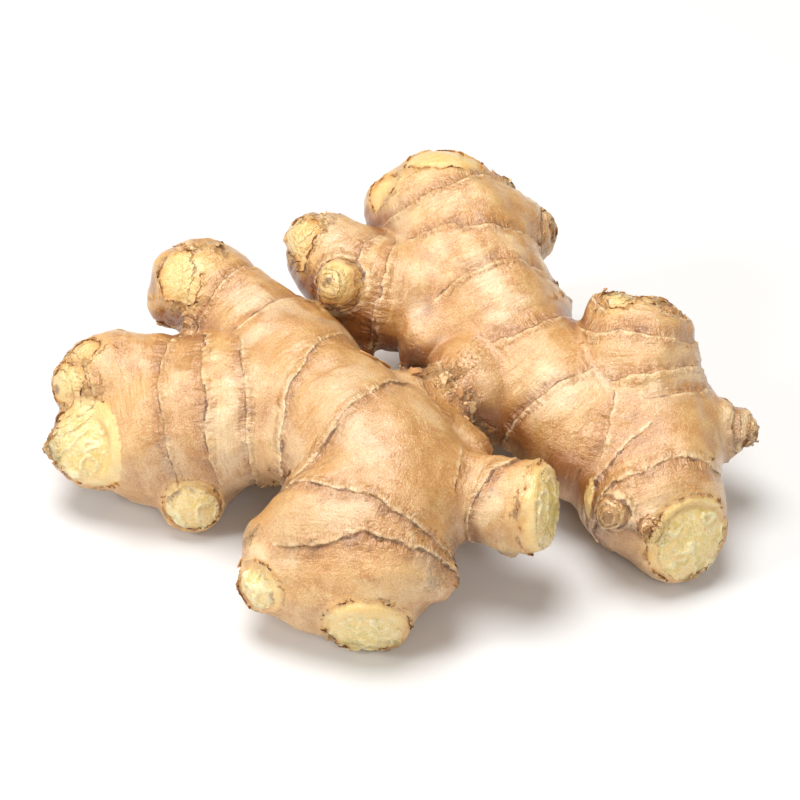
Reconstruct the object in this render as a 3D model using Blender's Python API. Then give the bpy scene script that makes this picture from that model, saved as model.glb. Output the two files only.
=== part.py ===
"""A ginger root: one knobbly rhizome lying on a table.

The body is one solid. Each lobe is a chain of overlapping balls along a smooth spine, and all the
balls are fused into one skin. The seven broken ends and the five resting patches are flat.
"""

import bmesh
import bpy
import numpy as np
from mathutils import Matrix, Vector

MM = 0.001

# Lobes, in millimetres: (x, y, z, radius) from where a lobe starts inside the body to the last ball
# at its tip. X runs along the root, Y to its back and Z up from the table.
LOBES = {
    # The left hand: a thick trunk that comes down to the table at the front.
    "left_trunk": [
        (-27.5, 4.5, 29, 14), (-15, -16.5, 26, 17.5), (-3.5, -32, 24, 18), (-6, -46, 18, 17.6),
        (-7.3, -53, 13.6, 14), (-7.2, -59.6, 9.4, 9.8),
    ],
    "trunk_front_side": [(-15.5, -43, 22, 13.5), (-17, -51, 13.2, 13.1)],
    "raised_finger": [(-23.5, 1, 28, 14.5), (-36.5, 15.5, 32, 12.5), (-45.5, 23, 35, 11.6), (-49.5, 25, 37, 10)],
    "raised_finger_crown": [(-44.5, 26, 37, 8), (-46, 26.3, 40.6, 6.3)],
    "raised_finger_face": [(-50.5, 22.5, 36, 9), (-54.3, 22.2, 33, 6.6)],
    "raised_finger_eye": [(-47.5, 14.5, 34, 4), (-49.4, 12, 33.9, 2.4)],
    "left_finger": [
        (-23, -10.5, 25, 15.5), (-40, -7.5, 22, 17.5), (-54.5, -7.5, 17, 17.4), (-66, -10, 16, 11.6),
        (-71.8, -10, 15.6, 10.6),
    ],
    "left_finger_back": [(-47, -2.5, 24, 14), (-60, 0.5, 25, 12), (-69.5, 1.5, 25.6, 11), (-74.2, 0.6, 24.6, 8.6)],
    "left_finger_bud": [(-76, -10, 16.5, 5), (-81, -12.5, 16, 2.5)],
    "left_stub": [(-45.5, -13, 17, 11), (-47, -16.5, 11.5, 9.5), (-48, -20.2, 8.5, 8.6)],
    "front_shoulder": [(-17.5, -45, 24, 9), (-29.5, -46, 20, 4.5)],
    "front_side_stub": [(-15.5, -42, 21, 12), (-24, -47, 17, 9.2), (-28.9, -53.9, 13.2, 6.6)],
    "front_right_knob": [(0.5, -51.5, 18, 11), (8, -54.5, 15.5, 5.2)],
    "crook_knob": [(-15.5, -36.5, 22, 6.5), (-22.5, -31, 20, 3)],
    "middle_finger": [(3.5, -35.5, 24, 11.5), (15.5, -37, 23, 10), (23.5, -39.5, 24, 10.3), (29.2, -41.2, 24.6, 10.2)],
    "middle_finger_nub": [(22.5, -38.5, 18, 6.5), (24.5, -41, 12, 2)],
    "trunk_back_knob": [(-13, 10, 20, 7), (-10.5, 14, 19.5, 4.5), (-8.5, 16.8, 19.5, 2.2)],
    # The bridge that joins the two hands.
    "bridge": [(0, -11.5, 24, 11.5), (9, -8, 25, 9.5), (17, -2, 26, 11.5)],
    "bridge_front": [(4.5, -19.5, 25, 10.5), (16, -23.5, 25, 6)],
    "bridge_knob": [(0, 0.5, 20, 7), (1, 5.5, 19.3, 4.8), (1, 8.5, 19, 3)],
    # The right hand: the longest finger rises to the back, and its root comes down at the right.
    "right_trunk": [
        (58, -15, 18, 16), (44.5, -12.5, 19, 15.5), (35.5, -1, 23, 16), (26, 11.5, 28, 15.8),
        (19.1, 26.5, 33, 17.2), (14, 39.5, 38, 17.6), (10.3, 47, 41.6, 15.5),
    ],
    "trunk_underside": [(24, 22.5, 30, 14.5), (11.5, 16.5, 30, 11)],
    "trunk_bulge": [(37.5, -5.5, 22, 11.5), (28.5, -6, 20, 9), (25.5, -8.5, 18, 5)],
    "long_finger_ear": [(10, 43.5, 40, 12.5), (1.2, 48.7, 41.7, 9.2), (-1.2, 47, 40.6, 7.3)],
    "long_finger_side": [(22, 43, 36, 14), (32, 46.5, 36, 7.5)],
    "long_finger_bud": [(19.5, 46.5, 41, 9.3), (26.5, 51, 46, 2)],
    "trunk_side_bud": [(34.5, 17.5, 31, 7), (39.5, 22.5, 32, 2)],
    "branch_finger": [(12, 24, 32, 13.5), (-3.5, 25, 33, 13.5), (-11.5, 29.5, 35, 12.4), (-17, 34.5, 37.5, 10.5)],
    "branch_finger_tip": [(-17, 33, 37, 9.5), (-21.4, 37.2, 38.9, 7.4)],
    "branch_finger_eye": [(-12, 23, 37.5, 8), (-14.2, 18.8, 40.8, 6)],
    "branch_root_nub": [(6, 11.5, 31, 7), (1.5, 9.5, 27, 2.5)],
    "back_finger": [(58, -8.5, 20, 15.5), (56, -1, 29, 14.5), (56.5, 3, 34, 12.3)],
    "back_finger_left": [(52.5, 3.5, 33, 11), (50, 8.5, 38.8, 7)],
    "back_finger_right": [(59, 2.5, 33, 10), (60.6, 4.6, 34.2, 6)],
    "right_bud": [(66.5, -8.5, 18, 10.5), (74.5, -9.5, 19.3, 7.8), (79, -10.6, 20.2, 4.8)],
    "right_front_lobe": [(54.5, -12.5, 19, 15.5), (59, -27, 14.8, 15), (62, -34.5, 10.6, 11.9)],
    "right_front_side": [(54.5, -28.5, 14.5, 13.4), (53, -28.5, 11.4, 10.8)],
    "right_front_eye": [(49.5, -35.5, 18.5, 6), (47.2, -39.6, 20.4, 3.8)],
    "right_front_small_eye": [(56.5, -38, 17, 5), (55.6, -41.8, 18.8, 3.2)],
    # The lobe that carries the long finger, hidden from the front.
    "rear_foot": [(26.5, 22.5, 24, 12), (27, 34, 18, 13), (27.5, 44.5, 14, 13.4), (26, 54.5, 11.4, 12.2)],
    "rear_foot_knob": [(29, 41, 14, 11), (35, 42.5, 12, 6)],
    "rear_foot_side": [(25, 49, 13, 11), (15.5, 53.5, 11, 7), (13, 54.5, 10.5, 5)],
    # Small knobs under the root.
    "trunk_under_knob": [(-14, -22, 16, 10), (-15, -23, 7, 5)],
    "long_finger_under_knob": [(13, 40, 30, 12), (9, 41, 21, 6.5)],
    "right_trunk_under_knob": [(46, -10, 14, 11), (44, -4, 6.5, 5)],
}

# Broken ends: the way each flat face looks, and how far it lies from the centre of the lobe's last ball.
BROKEN_ENDS = {
    "left_finger": ((-0.38, -0.78, 0.5), 7.8),
    "left_stub": ((0, -1, 0.15), 6.2),
    "left_trunk": ((-0.05, -0.95, -0.3), 5.8),
    "front_side_stub": ((-0.5, -0.75, 0.3), 4.9),
    "middle_finger": ((0.95, -0.27, 0.15), 4.3),
    "right_front_lobe": ((0.46, -0.85, 0.27), 8.3),
    "rear_foot": ((-0.25, 0.95, 0.15), 10.6),
}

BALL_STEP = 1.5  # the gap between two balls of a lobe
VOXEL = 0.8  # the grain at which the balls are fused
CREASE_ROUNDING = 7  # smoothing passes over the creases between lobes
SKIN_SHARE = 0.046  # the share of the fused skin's triangles that the solid keeps
CUT_DEPTH = 6.0
TABLE_CUT = (200.0, 200.0, 20.0)

SKIN_COLOUR = (0.72, 0.46, 0.24, 1)


def clear_scene():
    for obj in list(bpy.data.objects):
        bpy.data.objects.remove(obj)


def point_on_spine(before, start, end, after, t):
    """The Catmull-Rom curve from start to end, for t from 0 to 1."""
    return 0.5 * (
        2 * start
        + (end - before) * t
        + (2 * before - 5 * start + 4 * end - after) * t**2
        + (3 * start - before - 3 * end + after) * t**3
    )


def balls_of(stations):
    """The balls of a lobe, BALL_STEP apart, as (centre, radius)."""
    knots = [Vector(s) for s in stations]
    knots = [2 * knots[0] - knots[1], *knots, 2 * knots[-1] - knots[-2]]
    balls = []
    for before, start, end, after in zip(knots, knots[1:], knots[2:], knots[3:]):
        count = max(2, round((end - start).length / BALL_STEP))
        balls += [point_on_spine(before, start, end, after, i / count) for i in range(count)]
    balls.append(knots[-2])
    return [(ball.xyz, ball.w) for ball in balls]


def add_object(name, mesh):
    obj = bpy.data.objects.new(name, mesh)
    bpy.context.scene.collection.objects.link(obj)
    return obj


def unit_ball():
    """The points and faces of a ball of radius 1."""
    bm = bmesh.new()
    bmesh.ops.create_icosphere(bm, subdivisions=3, radius=1)
    points = np.array([vert.co for vert in bm.verts])
    faces = np.array([[vert.index for vert in face.verts] for face in bm.faces])
    bm.free()
    return points, faces


def make_lobes():
    """All the lobes as overlapping balls, in one mesh."""
    points, faces = unit_ball()
    balls = [ball for stations in LOBES.values() for ball in balls_of(stations)]
    all_points = [(points * radius + centre) * MM for centre, radius in balls]
    all_faces = [faces + index * len(points) for index in range(len(balls))]
    mesh = bpy.data.meshes.new("ginger_root")
    mesh.from_pydata(np.concatenate(all_points), [], np.concatenate(all_faces))
    return add_object("ginger_root", mesh)


def make_cutters():
    """A disc past each broken end and a slab under the table's top, in one mesh."""
    bm = bmesh.new()
    for lobe, (facing, reach) in BROKEN_ENDS.items():
        centre, radius = Vector(LOBES[lobe][-1][:3]), LOBES[lobe][-1][3]
        normal = Vector(facing).normalized()
        turn = normal.to_track_quat("Z", "Y").to_matrix().to_4x4()
        middle = centre + normal * (reach + CUT_DEPTH / 2)
        bmesh.ops.create_cone(
            bm, cap_ends=True, segments=24, radius1=radius * MM, radius2=radius * MM,
            depth=CUT_DEPTH * MM, matrix=Matrix.Translation(middle * MM) @ turn,
        )
    slab = Matrix.Diagonal((*(side * MM for side in TABLE_CUT), 1))
    under = Matrix.Translation((0, 0, -TABLE_CUT[2] / 2 * MM))
    bmesh.ops.create_cube(bm, size=1, matrix=under @ slab)
    mesh = bpy.data.meshes.new("cutters")
    bm.to_mesh(mesh)
    bm.free()
    cutters = add_object("cutters", mesh)
    cutters.hide_render = True
    cutters.display_type = "WIRE"
    return cutters


def fuse(body, cutters):
    """One skin over all the balls, with soft creases, fewer triangles and the flat faces cut."""
    remesh = body.modifiers.new("fuse", "REMESH")
    remesh.mode = "VOXEL"
    remesh.voxel_size = VOXEL * MM
    remesh.use_smooth_shade = True
    smooth = body.modifiers.new("round_creases", "SMOOTH")
    smooth.iterations = CREASE_ROUNDING
    thin = body.modifiers.new("fewer_triangles", "DECIMATE")
    thin.ratio = SKIN_SHARE
    cut = body.modifiers.new("flat_faces", "BOOLEAN")
    cut.operation = "DIFFERENCE"
    cut.object = cutters
    cut.solver = "EXACT"
    cut.use_self = True  # the lowest disc dips into the slab


def skin_material():
    material = bpy.data.materials.new("ginger_skin")
    material.use_nodes = True
    shader = material.node_tree.nodes["Principled BSDF"]
    shader.inputs["Base Color"].default_value = SKIN_COLOUR
    shader.inputs["Roughness"].default_value = 0.55
    shader.inputs["Metallic"].default_value = 0
    return material


def main():
    clear_scene()
    body = make_lobes()
    fuse(body, make_cutters())
    body.data.materials.append(skin_material())


main()
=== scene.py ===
"""The looks of a ginger root: its ringed papery skin, bare flesh, broken ends, eyes and dry scales.

All lengths in the tables are millimetres. The lobes are the ones that the solid is made of.
"""

import math

import bmesh
import bpy
import numpy as np
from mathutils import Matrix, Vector

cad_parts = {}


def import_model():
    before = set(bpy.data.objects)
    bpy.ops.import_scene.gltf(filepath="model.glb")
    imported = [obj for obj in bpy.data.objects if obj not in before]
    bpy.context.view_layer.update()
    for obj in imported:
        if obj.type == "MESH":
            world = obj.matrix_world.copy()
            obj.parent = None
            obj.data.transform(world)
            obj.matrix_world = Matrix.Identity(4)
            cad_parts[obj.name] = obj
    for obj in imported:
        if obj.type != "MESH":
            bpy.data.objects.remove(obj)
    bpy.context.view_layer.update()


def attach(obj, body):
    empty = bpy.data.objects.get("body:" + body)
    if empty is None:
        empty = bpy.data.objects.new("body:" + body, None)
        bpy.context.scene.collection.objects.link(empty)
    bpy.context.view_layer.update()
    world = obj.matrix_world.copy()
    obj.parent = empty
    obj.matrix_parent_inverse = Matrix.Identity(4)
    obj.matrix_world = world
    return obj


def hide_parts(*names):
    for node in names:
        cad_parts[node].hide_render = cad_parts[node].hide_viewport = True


MM = 0.001

# Each finger has a spine of (x, y, z, radius), knobs that grow out of it, and rings: how far along the
# spine each growth ring lies, with the way it leans where it isn't square to the spine.
FINGERS = {
    "left_trunk": {
        "spine": [
            (-27.5, 4.5, 29, 14), (-15, -16.5, 26, 17.5), (-3.5, -32, 24, 18), (-6, -46, 18, 17.6),
            (-7.3, -53, 13.6, 14), (-7.2, -59.6, 9.4, 9.8),
        ],
        "knobs": [
            [(-15.5, -43, 22, 13.5), (-17, -51, 13.2, 13.1)],
            [(-17.5, -45, 24, 9), (-29.5, -46, 20, 4.5)],
            [(0.5, -51.5, 18, 11), (8, -54.5, 15.5, 5.2)],
            [(-15.5, -36.5, 22, 6.5), (-22.5, -31, 20, 3)],
            [(-13, 10, 20, 7), (-10.5, 14, 19.5, 4.5), (-8.5, 16.8, 19.5, 2.2)],
            [(-14, -22, 16, 10), (-15, -23, 7, 5)],
        ],
        "rings": [
            (17.5, (0.5, 0.3, 0.2)), (31.7, (0.1, 0.1, -0.2)), (60, (-0.1, -0.1, 0.2)),
            (67.5, (0.1, 0, 0.2)),
        ],
    },
    "raised_finger": {
        "spine": [
            (-23.5, 1, 28, 14.5), (-36.5, 15.5, 32, 12.5), (-45.5, 23, 35, 11.6), (-49.5, 25, 37, 10),
        ],
        "knobs": [
            [(-44.5, 26, 37, 8), (-46, 26.3, 40.6, 6.3)],
            [(-50.5, 22.5, 36, 9), (-54.3, 22.2, 33, 6.6)],
            [(-47.5, 14.5, 34, 4), (-49.4, 12, 33.9, 2.4)],
        ],
        "rings": [12, 26.3],
    },
    "left_finger": {
        "spine": [
            (-23, -10.5, 25, 15.5), (-40, -7.5, 22, 17.5), (-54.5, -7.5, 17, 17.4), (-66, -10, 16, 11.6),
            (-71.8, -10, 15.6, 10.6),
        ],
        "knobs": [
            [(-47, -2.5, 24, 14), (-60, 0.5, 25, 12), (-69.5, 1.5, 25.6, 11), (-74.2, 0.6, 24.6, 8.6)],
            [(-76, -10, 16.5, 5), (-81, -12.5, 16, 2.5)],
        ],
        "rings": [(11.9, (-0.1, -0.2, 0.1)), (20.6, (-0.1, -0.1, 0.1)), (29, (-0.1, 0.1, 0.15))],
    },
    "left_stub": {
        "spine": [(-45.5, -13, 17, 11), (-47, -16.5, 11.5, 9.5), (-48, -20.2, 8.5, 8.6)],
    },
    "front_side_stub": {
        "spine": [(-15.5, -42, 21, 12), (-24, -47, 17, 9.2), (-28.9, -53.9, 13.2, 6.6)],
        "rings": [12.5],
    },
    "middle_finger": {
        "spine": [
            (3.5, -35.5, 24, 11.5), (15.5, -37, 23, 10), (23.5, -39.5, 24, 10.3), (29.2, -41.2, 24.6, 10.2),
        ],
        "knobs": [[(22.5, -38.5, 18, 6.5), (24.5, -41, 12, 2)]],
        "rings": [9, (19, (-0.1, -0.4, -0.1))],
    },
    "bridge": {
        "spine": [(0, -11.5, 24, 11.5), (9, -8, 25, 9.5), (17, -2, 26, 11.5)],
        "knobs": [
            [(4.5, -19.5, 25, 10.5), (16, -23.5, 25, 6)],
            [(0, 0.5, 20, 7), (1, 5.5, 19.3, 4.8), (1, 8.5, 19, 3)],
        ],
        "rings": [7, 13],
    },
    "right_trunk": {
        "spine": [
            (58, -15, 18, 16), (44.5, -12.5, 19, 15.5), (35.5, -1, 23, 16), (26, 11.5, 28, 15.8),
            (19.1, 26.5, 33, 17.2), (14, 39.5, 38, 17.6), (10.3, 47, 41.6, 15.5),
        ],
        "knobs": [
            [(24, 22.5, 30, 14.5), (11.5, 16.5, 30, 11)],
            [(37.5, -5.5, 22, 11.5), (28.5, -6, 20, 9), (25.5, -8.5, 18, 5)],
            [(10, 43.5, 40, 12.5), (1.2, 48.7, 41.7, 9.2), (-1.2, 47, 40.6, 7.3)],
            [(22, 43, 36, 14), (32, 46.5, 36, 7.5)],
            [(19.5, 46.5, 41, 9.3), (26.5, 51, 46, 2)],
            [(34.5, 17.5, 31, 7), (39.5, 22.5, 32, 2)],
            [(13, 40, 30, 12), (9, 41, 21, 6.5)],
            [(46, -10, 14, 11), (44, -4, 6.5, 5)],
        ],
        "rings": [10, 24, (41.9, (0.1, 0, 0.1)), (54.7, (0, 0.1, -0.2)), (72.5, (0.2, 0.1, 0.1)), 85.5],
    },
    "branch_finger": {
        "spine": [
            (12, 24, 32, 13.5), (-3.5, 25, 33, 13.5), (-11.5, 29.5, 35, 12.4), (-17, 34.5, 37.5, 10.5),
        ],
        "knobs": [
            [(-17, 33, 37, 9.5), (-21.4, 37.2, 38.9, 7.4)],
            [(-12, 23, 37.5, 8), (-14.2, 18.8, 40.8, 6)],
            [(6, 11.5, 31, 7), (1.5, 9.5, 27, 2.5)],
        ],
        "rings": [15.9, 23],
    },
    "back_finger": {
        "spine": [(58, -8.5, 20, 15.5), (56, -1, 29, 14.5), (56.5, 3, 34, 12.3)],
        "knobs": [[(52.5, 3.5, 33, 11), (50, 8.5, 38.8, 7)], [(59, 2.5, 33, 10), (60.6, 4.6, 34.2, 6)]],
        "rings": [6.3, 11.8, 21.5],
    },
    "right_bud": {
        "spine": [(66.5, -8.5, 18, 10.5), (74.5, -9.5, 19.3, 7.8), (79, -10.6, 20.2, 4.8)],
        "rings": [6.7, 12.2],
    },
    "right_front_lobe": {
        "spine": [(54.5, -12.5, 19, 15.5), (59, -27, 14.8, 15), (62, -34.5, 10.6, 11.9)],
        "knobs": [
            [(54.5, -28.5, 14.5, 13.4), (53, -28.5, 11.4, 10.8)],
            [(49.5, -35.5, 18.5, 6), (47.2, -39.6, 20.4, 3.8)],
            [(56.5, -38, 17, 5), (55.6, -41.8, 18.8, 3.2)],
        ],
        "rings": [(13.4, (0.2, -0.1, 0.4)), (20.5, (0, -0.2, 0.3))],
    },
    "rear_foot": {
        "spine": [(26.5, 22.5, 24, 12), (27, 34, 18, 13), (27.5, 44.5, 14, 13.4), (26, 54.5, 11.4, 12.2)],
        "knobs": [
            [(29, 41, 14, 11), (35, 42.5, 12, 6)],
            [(25, 49, 13, 11), (15.5, 53.5, 11, 7), (13, 54.5, 10.5, 5)],
        ],
        "rings": [8, 18, 28],
    },
}

# Broken ends: the way each faces, how far it lies past the finger's last ball, and the bare band of flesh
# behind it: how deep the band is and the way in which it is deeper.
BROKEN_ENDS = {
    "left_finger": ((-0.38, -0.78, 0.5), 7.8, 2.4, (0.4, 0, 0.1)),
    "left_stub": ((0, -1, 0.15), 6.2, 0.5, (0, 0, 0.03)),
    "left_trunk": ((-0.05, -0.95, -0.3), 5.8, 0.7, (0.02, 0, 0.5)),
    "front_side_stub": ((-0.5, -0.75, 0.3), 4.9, 0.8, (0.08, 0, 0.05)),
    "middle_finger": ((0.95, -0.27, 0.15), 4.3, 3.0, (0, -0.1, 0)),
    "right_front_lobe": ((0.46, -0.85, 0.27), 8.3, 1.4, (-0.1, 0, 0.15)),
    "rear_foot": ((-0.25, 0.95, 0.15), 10.6, 1.5, (0, 0, 0.2)),
}

# Peeled places: the middle of each on the skin and its radius.
BARE_SPOTS = [
    (-52, 17, 43.5, 6.5), (-48, 20, 46, 4), (-77, -4, 29.5, 5), (-73, 1, 33.5, 4),
    (-24.5, 32.3, 44.3, 6.4), (-15.2, 14.8, 44.5, 5.8), (8.5, 50, 55.8, 7), (15, 50, 55, 5),
    (-4.5, 46, 49.5, 5), (51.5, 7, 45.2, 3.4), (57, 6, 44.5, 2.6),
]

# Eyes: the middle of each on the skin, the way it faces, and how far from the middle its rings lie.
EYES = [
    ((-14.7, 18, 41.5), (-0.35, -0.65, 0.65), (6.8,)),
    ((-17.3, 15, 43.4), (-0.45, -0.6, 0.6), (3.5, 1)),
    ((47.2, -39.9, 20.6), (-0.35, -0.8, 0.45), (4.2, 2.6, 1.2)),
    ((55.6, -42.5, 19), (-0.1, -0.9, 0.4), (3.3, 1.4)),
    ((-49.6, 11.7, 33.9), (-0.5, -0.85, 0), (3.2, 1.6)),
    ((83, -11.6, 20), (0.9, -0.25, 0.2), (5, 2.8, 1.3)),
    ((-83, -13.5, 16), (-0.9, -0.45, -0.1), (3.4, 1.5)),
    ((61.8, 5.6, 41), (0.2, 0.3, 0.9), (4.5, 2.2)),
    ((49.5, 9.5, 44.5), (-0.3, 0.5, 0.8), (4.8, 2)),
    ((-25, 38, 44), (-0.7, 0.3, 0.6), (7.5, 3)),
    ((-79.5, -4, 27), (-0.8, -0.35, 0.45), (9.5, 5)),
    ((-56, 22, 38), (-0.9, -0.25, 0.3), (10.5,)),
    ((27.5, 52.5, 47), (0.5, 0.6, 0.6), (3.4, 1.6)),
    ((13, 60, 46), (0.1, 0.9, 0.4), (7, 3.5)),
    ((39, 45, 38), (0.85, 0.2, 0.45), (6.5, 3)),
]

# Dry, dark, flaking places: middle, radius and strength.
CRUSTS = [
    (9, -8, 34, 8, 0.6), (15, -13, 30, 7, 0.6), (20, -12, 22, 6, 0.8), (18, -2, 36, 8, 0.35),
    (16, -20, 30, 8, 0.35), (4, 4, 28, 9, 0.5), (-14, 15, 24, 7, 0.8), (-24.5, -31, 24, 6, 0.8),
    (-31, -20.5, 12, 6, 1.0), (8, -58, 20.7, 6, 0.5), (12, -52, 20, 6, 0.5), (-34, -47, 22, 6, 0.6),
    (-43, 26, 46.5, 6, 0.5), (-57, 24, 31, 5, 0.7), (40, 25, 33, 6, 0.9), (27, 51.5, 48, 5, 0.8),
    (49, 10, 45, 6, 0.6), (62, 7, 41, 6, 0.6), (82, -11.5, 20, 6, 0.6), (-82, -14, 16, 5, 0.7),
    (25, -43, 10, 6, 0.6), (3, 8.5, 25, 5, 0.9), (-21, 40, 44, 6, 0.6), (1, 10, 24, 6, 0.8),
    (42, 8, 30, 6, 0.6), (-72, -13, 6, 7, 0.7), (33, 47, 12, 7, 0.6),
]
SCARS = 90  # small root scars, most of them near rings

# Loose flaps of dry skin: place, width, length and how far the free edge lifts.
FLAPS = [
    (-43.9, 26.7, 46.7, 3.6, 2.2, 0.9), (-47.5, 26, 46, 2.6, 1.5, 0.5), (-59.2, 18.5, 35.7, 3, 1.6, 0.5),
    (-58, 14.5, 33, 2.6, 1.4, 0.5), (26.3, 48.2, 49.6, 3, 2.4, 0.8), (24, 50, 51, 2.4, 1.8, 0.6),
    (36.8, 14.8, 38.8, 3, 2.4, 0.8), (38, 19, 36, 2.6, 1.8, 0.6), (42.6, -1.8, 38.6, 3.4, 1.6, 0.4),
    (46.8, 10.3, 44.3, 3, 1.8, 0.7), (50, 12, 44, 2.8, 1.4, 0.5), (61.7, 2.4, 44.4, 3, 1.6, 0.5),
    (-82.5, -11.2, 13.2, 3.2, 2.4, 0.8), (-81, -14, 11, 3, 1.6, 0.5), (-79.1, 2.3, 30.8, 3.2, 1.5, 0.4),
    (-65.2, 1.2, 36.3, 3, 1.3, 0.4), (-25.9, 38.3, 44.3, 3, 1.8, 0.6), (-19.3, 14.2, 38.8, 3.8, 1.2, 0.3),
    (-7.9, -5.1, 38.7, 7.5, 4.4, 1.5), (-4, -4, 36, 5, 3.4, 1.1), (1.5, -7.1, 34.9, 6.5, 3.8, 1.3),
    (37.7, 42.7, 38, 3.4, 1.6, 0.5), (38.5, 46, 36, 2.6, 1.5, 0.5), (10.5, -55, 21.2, 3.6, 1.8, 0.5),
    (12, -56, 16, 3, 1.6, 0.5), (-24.5, -45.2, 32.3, 2.8, 1.4, 0.4), (-35, -49.9, 16.1, 3, 1.8, 0.6),
    (81, -12, 21, 2.6, 1.6, 0.6), (76, -16, 18, 2.6, 1.4, 0.4), (20, 66, 20, 3, 1.6, 0.5),
    (-31, -20.5, 12, 4, 2.2, 0.8), (5.4, -5.7, 32.8, 3, 2.2, 0.9), (9.2, -9.1, 34, 3.6, 2.2, 0.8),
    (13, -11.9, 32.3, 3.2, 2, 0.8), (15.8, -13.5, 29.3, 3.8, 2.4, 0.9), (19.9, -12.3, 21.8, 4, 2.8, 1.0),
]

BALL_STEP = 1.2  # between two balls of a spine
GRAIN = 0.97  # the size of the skin's faces; those near a ring or a skin edge are half as long
FINE_REACH = 0.6  # how near to a ring or a skin edge the faces are finer
CREASE = 1.3  # how softly two fingers meet
KNOB_CREASE = 0.8
EDGE = 0.5  # how softly a broken end meets its finger's side
DOME = 1.1  # how far a broken face bulges
HOLLOW_REACH = 6  # a place is hollow if something else is nearer than this
NO_RING = 99.0  # the distance to a ring where there is none
FAR = 9.0  # the largest distance that the material reads
NUMBERS = (  # what the material reads from the skin's corners
    "ring", "seam", "peel", "face", "rim", "fibre", "crust", "scar", "eye", "tone", "worn", "near_ring",
    "past_ring", "hollow",
)


# ---- Numbers ----


def lengths(vectors):
    """The length of each row."""
    return np.linalg.norm(vectors, axis=1)


def lattice(cells, seed):
    """One number from 0 to 1 for each whole-numbered cell."""
    hashed = (cells[..., 0] * 374761393 + cells[..., 1] * 668265263 + cells[..., 2] * 2147483647
              + seed * 1274126177) & 0xFFFFFFFF
    hashed = ((hashed ^ (hashed >> 13)) * 1103515245) & 0xFFFFFFFF
    hashed = ((hashed ^ (hashed >> 16)) * 2246822519) & 0xFFFFFFFF
    return (hashed ^ (hashed >> 15)) / 0xFFFFFFFF


def noise(points, size, seed=0):
    """Smooth noise from -1 to 1, with lumps about size across."""
    scaled = points / size
    cell = np.floor(scaled).astype(np.int64)
    part = scaled - cell
    part = part * part * part * (part * (part * 6 - 15) + 10)
    total = np.zeros(len(points))
    for corner in np.ndindex(2, 2, 2):
        share = np.prod(np.where(corner, part, 1 - part), axis=1)
        total += share * lattice(cell + np.array(corner), seed)
    return 2.6 * (total - 0.5)


def rough(points, size, octaves, seed=0):
    """Noise in several sizes, each half the last."""
    return sum(noise(points, size / 2**i, seed + i) / 2**i for i in range(octaves)) / 1.6


def ridges(points, size, seed):
    """Thin wandering ridges, 1 along them and 0 between."""
    warped = points + 0.8 * np.stack([noise(points, size, seed + k) for k in (1, 2, 3)], axis=1)
    return np.clip(1 - 4 * np.abs(noise(warped, size, seed)), 0, 1)


def ramp(value, start, end):
    """0 before start, 1 after end, smooth between."""
    part = np.clip((value - start) / (end - start), 0, 1)
    return part * part * (3 - 2 * part)


# ---- Fingers ----


def balls_of(stations):
    """The balls along a Catmull-Rom curve through the stations, one row (x, y, z, radius) each."""
    knots = np.array(stations, float)
    knots = np.vstack([2 * knots[0] - knots[1], knots, 2 * knots[-1] - knots[-2]])
    rows = []
    for before, start, end, after in zip(knots, knots[1:], knots[2:], knots[3:]):
        count = max(2, round(np.linalg.norm(end[:3] - start[:3]) / BALL_STEP))
        t = (np.arange(count) / count)[:, None]
        rows.append(0.5 * (2 * start + (end - before) * t
                           + (2 * before - 5 * start + 4 * end - after) * t**2
                           + (3 * start - before - 3 * end + after) * t**3))
    rows.append(knots[-2:-1])
    return np.vstack(rows)


def nearest_ball(points, balls):
    """The distance from each point to the nearest ball's surface, and which ball that is."""
    gaps = np.sqrt(((points[:, None] - balls[None, :, :3]) ** 2).sum(2)) - balls[None, :, 3]
    which = gaps.argmin(1)
    return gaps[np.arange(len(points)), which], which


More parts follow.
